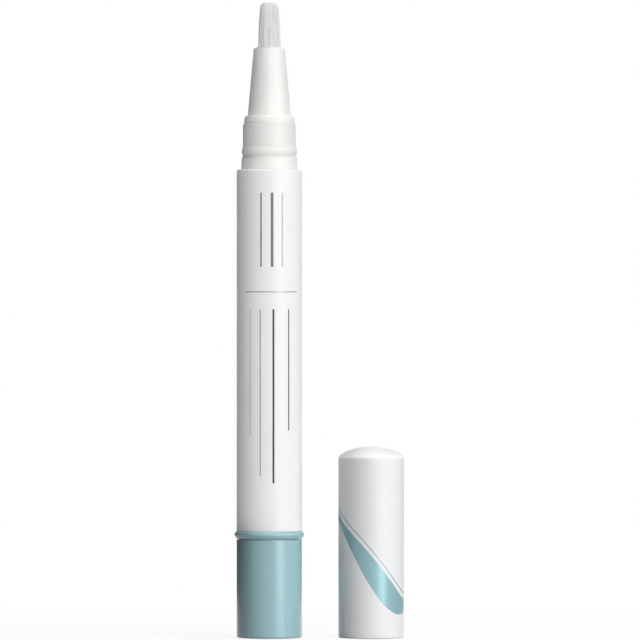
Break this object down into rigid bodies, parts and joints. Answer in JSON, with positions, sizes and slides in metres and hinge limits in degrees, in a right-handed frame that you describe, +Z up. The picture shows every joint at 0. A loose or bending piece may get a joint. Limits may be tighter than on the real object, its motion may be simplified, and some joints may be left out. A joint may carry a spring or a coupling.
{
  "type": "nail care pen",
  "caption": "Slim twist-up brush pen for nail care liquid, standing open on its teal knob, with its domed white cap beside it.",
  "frame": {"origin": "centre of the knob's flat base, on the pen's axis", "axes": "+Z up along the pen, from the knob to the brush; +X towards the cap that stands beside it"},
  "size_m": [0.0311, 0.0128, 0.1168],
  "materials": {
    "white_gloss": "glossy white moulding",
    "teal_gloss": "glossy grey-teal moulding",
    "warm_white": "satin warm white moulding",
    "natural_white": "natural uncoloured plastic",
    "soft_seal": "soft sealing rubber",
    "bristle": "white nylon strands"
  },
  "bodies": {
    "barrel": {"barrel": "white_gloss", "tail_bush": "natural_white", "screw_nut": "natural_white", "neck_fitment": "warm_white", "neck_seal": "soft_seal", "nozzle": "warm_white", "feed_plug": "natural_white", "feed_pipe": "natural_white", "brush": "bristle"},
    "knob": {"knob_shell": "teal_gloss", "knob_core": "teal_gloss", "drive_sleeve": "natural_white", "ratchet_pawl": "natural_white"},
    "rod": {"screw_rod": "natural_white"},
    "piston": {"piston": "warm_white", "piston_seal": "soft_seal"},
    "cap": {"cap": "white_gloss", "cap_liner": "natural_white"}
  },
  "joints": [
    {"name": "knob_twist", "type": "hinge", "parent": "barrel", "child": "knob", "pos_m": [0, 0, 0], "axis": [0, 0, 1], "range_deg": [0, 3840]},
    {"name": "rod_advance", "type": "slide", "parent": "knob", "child": "rod", "axis": [0, 0, 1], "range_m": [0, 0.0321]},
    {"name": "piston_advance", "type": "slide", "parent": "barrel", "child": "piston", "axis": [0, 0, 1], "range_m": [0, 0.0321]},
    {"name": "cap_lift", "type": "slide", "parent": "barrel", "child": "cap", "axis": [0, 0, 1], "range_m": [0, 0.12]}
  ],
  "couplings": [
    {"joint": "rod_advance", "follows": "knob_twist", "m_per_rad": 0.00047746},
    {"joint": "piston_advance", "follows": "knob_twist", "m_per_rad": 0.00047746}
  ]
}
